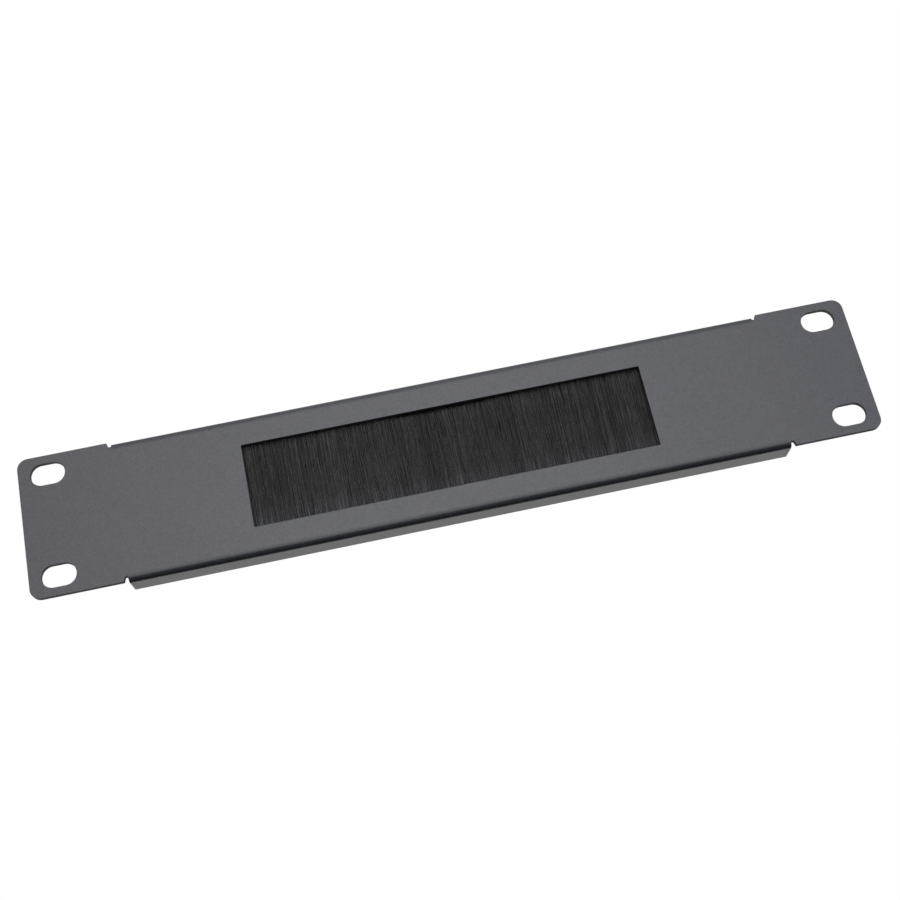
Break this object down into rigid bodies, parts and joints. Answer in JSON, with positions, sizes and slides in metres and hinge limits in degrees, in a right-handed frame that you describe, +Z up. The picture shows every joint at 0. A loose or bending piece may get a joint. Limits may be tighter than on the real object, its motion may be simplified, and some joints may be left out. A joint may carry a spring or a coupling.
{
  "type": "rack brush strip panel",
  "caption": "Folded steel rack panel, one unit high, with slotted ears and a brush-filled cable opening.",
  "frame": {"origin": "middle of the panel in the rear plane of the ears, which lies on the rack rails", "axes": "+X along the width, to the right seen from the front; +Y from the front to the rear; +Z up"},
  "size_m": [0.254, 0.0093, 0.0436],
  "materials": {
    "powder_coat": "satin, fine-grained powder coat, dark grey",
    "zinc_sheet": "galvanised",
    "zinc_strip": "galvanised strip, crimped",
    "wire": "drawn steel wire",
    "filament": "black nylon filaments",
    "stud": "copper-flashed steel",
    "zinc_fastener": "bright zinc plated"
  },
  "bodies": {
    "root": {"panel": "powder_coat", "brush_carrier": "zinc_sheet", "brush_channel": "zinc_strip", "core_wire": "wire", "bristles": "filament", "weld_stud_left": "stud", "weld_stud_right": "stud", "washer_left": "zinc_fastener", "washer_right": "zinc_fastener", "nut_left": "zinc_fastener", "nut_right": "zinc_fastener"}
  },
  "joints": []
}
